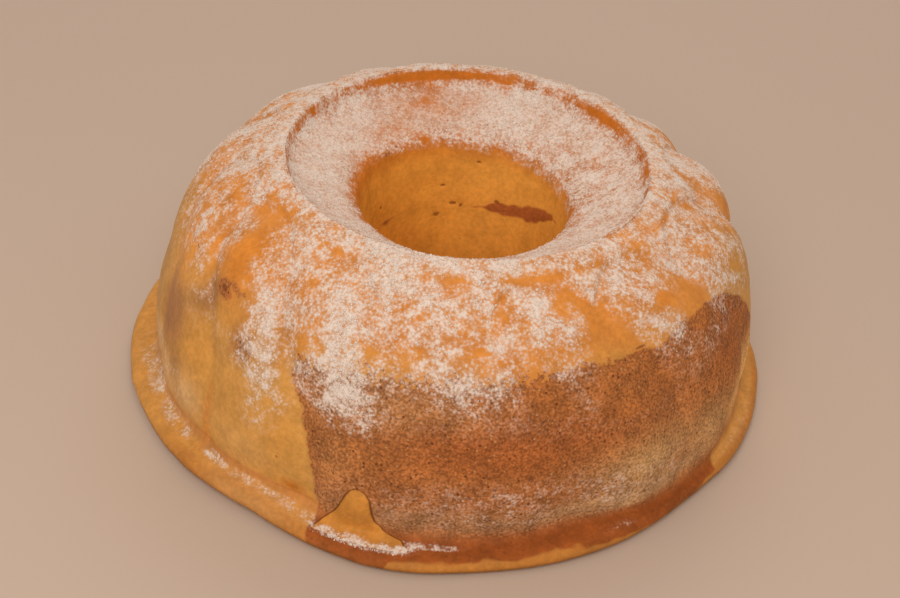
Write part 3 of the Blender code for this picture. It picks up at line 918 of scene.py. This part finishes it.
def sugar_material():
    """Dry white powder in small lumps."""
    material = bpy.data.materials.new("powdered_sugar")
    material.use_nodes = True
    tree = material.node_tree
    shader = tree.nodes["Principled BSDF"]
    tone = noise(tree, 3.0, 3.0)
    plug(tree, blend(tree, tone, (0.80, 0.78, 0.78, 1.0), (0.89, 0.88, 0.88, 1.0)), shader.inputs["Base Color"])
    plug(tree, spread(tree, tone, 0.3, 0.7, 0.85, 1.0), shader.inputs["Roughness"])
    shader.inputs["Specular IOR Level"].default_value = 0.25
    bump = node(tree, "Bump", Height=noise(tree, 0.3, 2.0), Distance=0.1 * UNIT, Strength=0.6)
    plug(tree, bump.outputs["Normal"], shader.inputs["Normal"])
    return material


CRUST = crust_material()
POWDER = sugar_material()
crust_wall.data.materials.append(CRUST)
crust_inside.data.materials.append(CRUST)
batter_flake.data.materials.append(CRUST)


# ---- Sugar grains and lumps, as real shapes lying on the crust ----

def octahedron():
    """Corners and faces of an eight-sided grain of unit radius."""
    corners = np.array([(1, 0, 0), (-1, 0, 0), (0, 1, 0), (0, -1, 0), (0, 0, 1), (0, 0, -1)], dtype=float)
    faces = [(4, 0, 2), (4, 2, 1), (4, 1, 3), (4, 3, 0), (5, 2, 0), (5, 1, 2), (5, 3, 1), (5, 0, 3)]
    return corners, np.array(faces)


def icosahedron():
    """Corners and faces of a twenty-sided lump of unit radius."""
    golden = (1.0 + math.sqrt(5.0)) / 2.0
    corners = [(-1, golden, 0), (1, golden, 0), (-1, -golden, 0), (1, -golden, 0), (0, -1, golden), (0, 1, golden),
               (0, -1, -golden), (0, 1, -golden), (golden, 0, -1), (golden, 0, 1), (-golden, 0, -1), (-golden, 0, 1)]
    faces = [(0, 11, 5), (0, 5, 1), (0, 1, 7), (0, 7, 10), (0, 10, 11), (1, 5, 9), (5, 11, 4), (11, 10, 2),
             (10, 7, 6), (7, 1, 8), (3, 9, 4), (3, 4, 2), (3, 2, 6), (3, 6, 8), (3, 8, 9), (4, 9, 5),
             (2, 4, 11), (6, 2, 10), (8, 6, 7), (9, 8, 1)]
    corners = np.array(corners)
    return corners / np.linalg.norm(corners[0]), np.array(faces)


def scatter(name, shape, count, sizes, flat, power, seed):
    """Joined grains lying on the crust, thickest where the sugar is."""
    pick = np.random.default_rng(seed)
    corner = surface
    over = np.roll(surface, -1, axis=1)
    under = np.roll(surface, -1, axis=0)
    area = np.linalg.norm(np.cross(over - corner, under - corner), axis=-1)
    weight = area * np.clip(sugar - 0.06, 0.0, 1.0) ** power * (run < LOWEST_GRAIN) * (1.1 - veil_field(theta, run))
    chosen = pick.choice(weight.size, size=count, p=weight.ravel() / weight.sum())
    i, j = np.unravel_index(chosen, weight.shape)
    u, v = pick.random((2, count, 1))
    i2 = (i + 1) % surface.shape[0]
    j2 = (j + 1) % surface.shape[1]

    def inside(grid):
        top = grid[i, j] * (1.0 - u) + grid[i, j2] * u
        foot = grid[i2, j] * (1.0 - u) + grid[i2, j2] * u
        return top * (1.0 - v) + foot * v

    up = inside(normals)
    up /= np.linalg.norm(up, axis=1, keepdims=True)
    side = np.cross(up, pick.normal(size=(count, 3)))
    side /= np.linalg.norm(side, axis=1, keepdims=True)
    other = np.cross(up, side)
    size = sizes[0] + (sizes[1] - sizes[0]) * pick.random((count, 1)) ** 2.2
    centre = inside(surface) + up * size * flat * 0.35
    corners, faces = shape
    wobble = 1.0 + 0.28 * pick.uniform(-1.0, 1.0, (count, len(corners)))[..., None]
    local = corners[None] * wobble * size[:, None]
    placed = (local[..., :1] * side[:, None] + local[..., 1:2] * other[:, None] + local[..., 2:] * flat * up[:, None])
    vertices = (placed + centre[:, None]).reshape(-1, 3)
    vertices = np.clip(vertices, box_low, box_high)
    all_faces = (faces[None] + (np.arange(count) * len(corners))[:, None, None]).reshape(-1, 3)
    obj = new_object(name, vertices, all_faces)
    obj.data.materials.append(POWDER)
    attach(obj, "root")
    return obj


LOWEST_GRAIN = WALL_LENGTH + 11.0
scatter("sugar_grains", octahedron(), 20000, (0.14, 0.38), 0.75, 2.3, 41)
scatter("sugar_lumps", icosahedron(), 8000, (0.22, 0.58), 0.45, 3.4, 42)


# ---- Camera at the photograph's viewing angle: 36 degrees up, turned a little about its own axis ----

CAMERA_TARGET = Vector((-0.35, 1.87, 27.3)) * UNIT
CAMERA_DISTANCE = 660.0 * UNIT
CAMERA_ELEVATION = math.radians(36.05)
CAMERA_ROLL = math.radians(4.91)


def make_camera():
    """Camera looking along +Y and down."""
    forward = Vector((0.0, math.cos(CAMERA_ELEVATION), -math.sin(CAMERA_ELEVATION)))
    right = Vector((1.0, 0.0, 0.0))
    up = right.cross(forward)
    c, s = math.cos(CAMERA_ROLL), math.sin(CAMERA_ROLL)
    axes = Matrix((c * right + s * up, c * up - s * right, -forward)).transposed().to_4x4()
    camera = bpy.data.objects.new("camera", bpy.data.cameras.new("camera"))
    camera.matrix_world = Matrix.Translation(CAMERA_TARGET - CAMERA_DISTANCE * forward) @ axes
    camera.data.lens = 64.0
    camera.data.sensor_width = 36.0
    bpy.context.scene.collection.objects.link(camera)
    bpy.context.scene.camera = camera


def softbox(name, azimuth, elevation, distance, size, power, colour):
    """Round soft light aimed at the cake. Azimuth 0 is the camera's side, and distances are metres."""
    a, e = math.radians(azimuth), math.radians(elevation)
    away = Vector((math.sin(a) * math.cos(e), -math.cos(a) * math.cos(e), math.sin(e)))
    light = bpy.data.lights.new(name, "AREA")
    light.shape = "DISK"
    light.size = size
    light.energy = power
    light.color = colour
    obj = bpy.data.objects.new(name, light)
    obj.location = away * distance + Vector((0.0, 0.0, 0.04))
    obj.rotation_euler = (-away).to_track_quat("-Z", "Y").to_euler()
    bpy.context.scene.collection.objects.link(obj)


def make_floor():
    """Plain pale tabletop that reaches past the view from every side."""
    half = 10.0
    mesh = bpy.data.meshes.new("tabletop")
    mesh.from_pydata([(-half, -half, 0), (half, -half, 0), (half, half, 0), (-half, half, 0)], [], [(0, 1, 2, 3)])
    floor = bpy.data.objects.new("tabletop", mesh)
    bpy.context.scene.collection.objects.link(floor)
    material = bpy.data.materials.new("pale_cloth")
    material.use_nodes = True
    shader = material.node_tree.nodes["Principled BSDF"]
    shader.inputs["Base Color"].default_value = FLOOR_COLOUR
    shader.inputs["Roughness"].default_value = 0.95
    shader.inputs["Specular IOR Level"].default_value = 0.1
    mesh.materials.append(material)


WARM = (1.0, 0.79, 0.63)
FLOOR_COLOUR = (0.62, 0.565, 0.53, 1.0)
SKY = (0.50, 0.393, 0.308, 1.0)

make_camera()
make_floor()
softbox("key", -8.0, 43.0, 1.1, 0.7, 5.0, WARM)
softbox("back_fill", 175.0, 45.0, 1.8, 1.2, 6.0, WARM)
world = bpy.data.worlds.new("room")
world.use_nodes = True
world.node_tree.nodes["Background"].inputs["Color"].default_value = SKY
bpy.context.scene.world = world
bpy.context.scene.view_settings.view_transform = "Standard"
